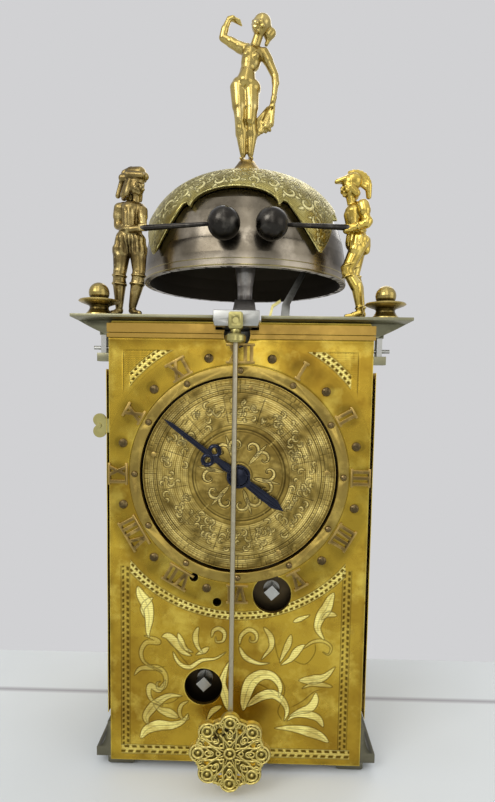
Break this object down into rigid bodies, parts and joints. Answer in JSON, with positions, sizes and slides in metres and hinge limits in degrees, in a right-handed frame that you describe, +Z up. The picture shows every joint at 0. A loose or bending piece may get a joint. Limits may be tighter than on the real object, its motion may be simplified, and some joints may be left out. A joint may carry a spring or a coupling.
{
  "type": "table clock",
  "caption": "Tower-shaped table clock with an engraved gilt front, single hand, front pendulum, bell under a pierced cap, and two turning figures that strike the bell.",
  "frame": {"origin": "centre of the bounding box at the plane of the feet", "axes": "+Z up, the dial faces -Y, +X to the right seen from the front"},
  "size_m": [0.14, 0.133, 0.3478],
  "materials": {
    "gilt_plate": "engraved and fire gilt, brown in the cuts",
    "gilt_bright": "polished gilding",
    "gilt_worn": "worn gilding with brown hollows",
    "gilt_pale": "pale engraved gilding",
    "brass": "plain brass",
    "bell_metal": "polished grey bell metal",
    "dark_steel": "dark browned steel",
    "blue_steel": "blued steel",
    "grey_steel": "filed steel"
  },
  "bodies": {
    "case": {"base_feet": "dark_steel", "base_moulding": "dark_steel", "corner_posts": "dark_steel", "front_plate": "gilt_plate", "back_plate": "gilt_plate", "cornice": "dark_steel", "cornice_stays": "grey_steel", "stay_pins": "grey_steel", "corner_knobs": "gilt_worn", "chapter_ring": "gilt_bright", "hour_pins": "gilt_bright", "hour_numerals": "gilt_bright", "half_hour_studs": "gilt_bright", "going_plate": "brass", "centre_plate": "brass", "striking_plate": "brass", "movement_pillars": "grey_steel", "potence": "brass", "verge_cock": "grey_steel", "dial_stud": "grey_steel", "bell_stand": "grey_steel", "bell": "bell_metal", "bell_cap": "gilt_pale", "finial_base": "gilt_bright", "finial_figure": "gilt_bright", "hinge_pins": "grey_steel", "hammer_bracket": "gilt_pale", "check_spring": "gilt_pale"},
    "pendulum": {"verge": "grey_steel", "pendulum_nut": "brass", "pendulum_collar": "brass", "pendulum_rod": "grey_steel", "pendulum_bob": "gilt_pale"},
    "left_figure": {"left_jack": "gilt_worn", "left_hammer": "dark_steel", "left_spindle": "grey_steel"},
    "right_figure": {"right_jack": "gilt_bright", "right_hammer": "dark_steel", "right_spindle": "grey_steel"},
    "calendar": {"calendar_disc": "gilt_worn"},
    "dial_work": {"dial_wheel": "brass"},
    "hand": {"hour_hand": "blue_steel", "hand_collet": "gilt_bright"},
    "going_great": {"going_barrel": "brass"},
    "going_arbor": {"going_winding_arbor": "grey_steel"},
    "going_click": {"going_click": "grey_steel"},
    "second": {"second_wheel": "brass"},
    "contrate": {"contrate_wheel": "brass"},
    "crown": {"crown_wheel": "brass"},
    "striking_great": {"striking_barrel": "brass"},
    "striking_arbor": {"striking_winding_arbor": "grey_steel"},
    "striking_click": {"striking_click": "grey_steel"},
    "pins": {"pin_wheel": "brass"},
    "hoop": {"hoop_wheel": "brass"},
    "fly": {"fly": "brass"},
    "count": {"count_wheel": "brass"},
    "left_door": {"left_door": "gilt_plate", "door_pull": "gilt_plate"},
    "right_door": {"right_door": "gilt_plate"},
    "bell_hammer": {"bell_hammer": "gilt_pale"}
  },
  "joints": [
    {"name": "pendulum_swing", "type": "hinge", "parent": "case", "child": "pendulum", "pos_m": [-0.0015, -0.062, 0.195], "axis": [0, 1, 0], "range_deg": [-12, 12]},
    {"name": "left_figure_turn", "type": "hinge", "parent": "case", "child": "left_figure", "pos_m": [-0.05, -0.0345, 0.1987], "axis": [0, 0, 1], "range_deg": [-22, 0], "stiffness_Nm_per_rad": 0.01, "springref_deg": 2.86},
    {"name": "right_figure_turn", "type": "hinge", "parent": "case", "child": "right_figure", "pos_m": [0.05, -0.0345, 0.1987], "axis": [0, 0, 1], "range_deg": [0, 22], "stiffness_Nm_per_rad": 0.01, "springref_deg": -2.86},
    {"name": "calendar_turn", "type": "hinge", "parent": "case", "child": "calendar", "pos_m": [0, -0.048, 0.132], "axis": [0, 1, 0], "continuous": true},
    {"name": "hand_turn", "type": "hinge", "parent": "dial_work", "child": "hand", "pos_m": [0, -0.048, 0.132], "axis": [0, 1, 0], "continuous": true},
    {"name": "contrate_turn", "type": "hinge", "parent": "case", "child": "contrate", "pos_m": [-0.0015, -0.036, 0.137], "axis": [0, 1, 0], "continuous": true},
    {"name": "second_turn", "type": "hinge", "parent": "case", "child": "second", "pos_m": [-0.00013, -0.036, 0.11134], "axis": [0, 1, 0], "continuous": true},
    {"name": "going_great_turn", "type": "hinge", "parent": "case", "child": "going_great", "pos_m": [0.015, -0.036, 0.08072], "axis": [0, 1, 0], "continuous": true},
    {"name": "dial_wheel_turn", "type": "hinge", "parent": "case", "child": "dial_work", "pos_m": [0, -0.036, 0.132], "axis": [0, 1, 0], "continuous": true},
    {"name": "crown_turn", "type": "hinge", "parent": "case", "child": "crown", "pos_m": [-0.0015, -0.0219, 0.165], "axis": [0, 0, 1], "continuous": true},
    {"name": "going_winding_turn", "type": "hinge", "parent": "case", "child": "going_arbor", "pos_m": [0.015, -0.0465, 0.08072], "axis": [0, 1, 0], "continuous": true},
    {"name": "going_click_lift", "type": "hinge", "parent": "case", "child": "going_click", "pos_m": [0.0304, 0, 0.08932], "axis": [0, 1, 0], "range_deg": [-12, 0], "stiffness_Nm_per_rad": 0.002, "springref_deg": 2.86},
    {"name": "hoop_turn", "type": "hinge", "parent": "case", "child": "hoop", "pos_m": [-0.00995, 0.036, 0.09039], "axis": [0, 1, 0], "continuous": true},
    {"name": "pin_wheel_turn", "type": "hinge", "parent": "case", "child": "pins", "pos_m": [0.00287, 0.036, 0.06817], "axis": [0, 1, 0], "continuous": true},
    {"name": "striking_great_turn", "type": "hinge", "parent": "case", "child": "striking_great", "pos_m": [-0.0142, 0.036, 0.0386], "axis": [0, 1, 0], "continuous": true},
    {"name": "fly_turn", "type": "hinge", "parent": "case", "child": "fly", "pos_m": [0.0055, 0.036, 0.10584], "axis": [0, 1, 0], "continuous": true},
    {"name": "count_wheel_turn", "type": "hinge", "parent": "case", "child": "count", "pos_m": [-0.0142, 0.036, 0.06375], "axis": [0, 1, 0], "continuous": true},
    {"name": "striking_winding_turn", "type": "hinge", "parent": "case", "child": "striking_arbor", "pos_m": [-0.0142, -0.0465, 0.0386], "axis": [0, 1, 0], "continuous": true},
    {"name": "striking_click_lift", "type": "hinge", "parent": "case", "child": "striking_click", "pos_m": [0.0012, 0, 0.0472], "axis": [0, 1, 0], "range_deg": [-12, 0], "stiffness_Nm_per_rad": 0.002, "springref_deg": 2.86},
    {"name": "bell_hammer_swing", "type": "hinge", "parent": "case", "child": "bell_hammer", "pos_m": [0.02, 0.002, 0.2029], "axis": [0, 1, 0], "range_deg": [0, 3], "stiffness_Nm_per_rad": 0.05, "springref_deg": -2.86},
    {"name": "left_door_swing", "type": "hinge", "parent": "case", "child": "left_door", "pos_m": [-0.0556, 0.047, 0.02], "axis": [0, 0, 1], "range_deg": [-110, 0]},
    {"name": "right_door_swing", "type": "hinge", "parent": "case", "child": "right_door", "pos_m": [0.0556, 0.047, 0.02], "axis": [0, 0, 1], "range_deg": [0, 110]}
  ],
  "couplings": [
    {"joint": "second_turn", "follows": "contrate_turn", "ratio": -0.12308},
    {"joint": "going_great_turn", "follows": "contrate_turn", "ratio": 0.013675},
    {"joint": "dial_wheel_turn", "follows": "contrate_turn", "ratio": -0.0045584},
    {"joint": "crown_turn", "follows": "contrate_turn", "ratio": -7.5},
    {"joint": "pin_wheel_turn", "follows": "hoop_turn", "ratio": -0.13333},
    {"joint": "striking_great_turn", "follows": "hoop_turn", "ratio": 0.014815},
    {"joint": "fly_turn", "follows": "hoop_turn", "ratio": -6.75},
    {"joint": "count_wheel_turn", "follows": "hoop_turn", "ratio": -0.013675}
  ]
}
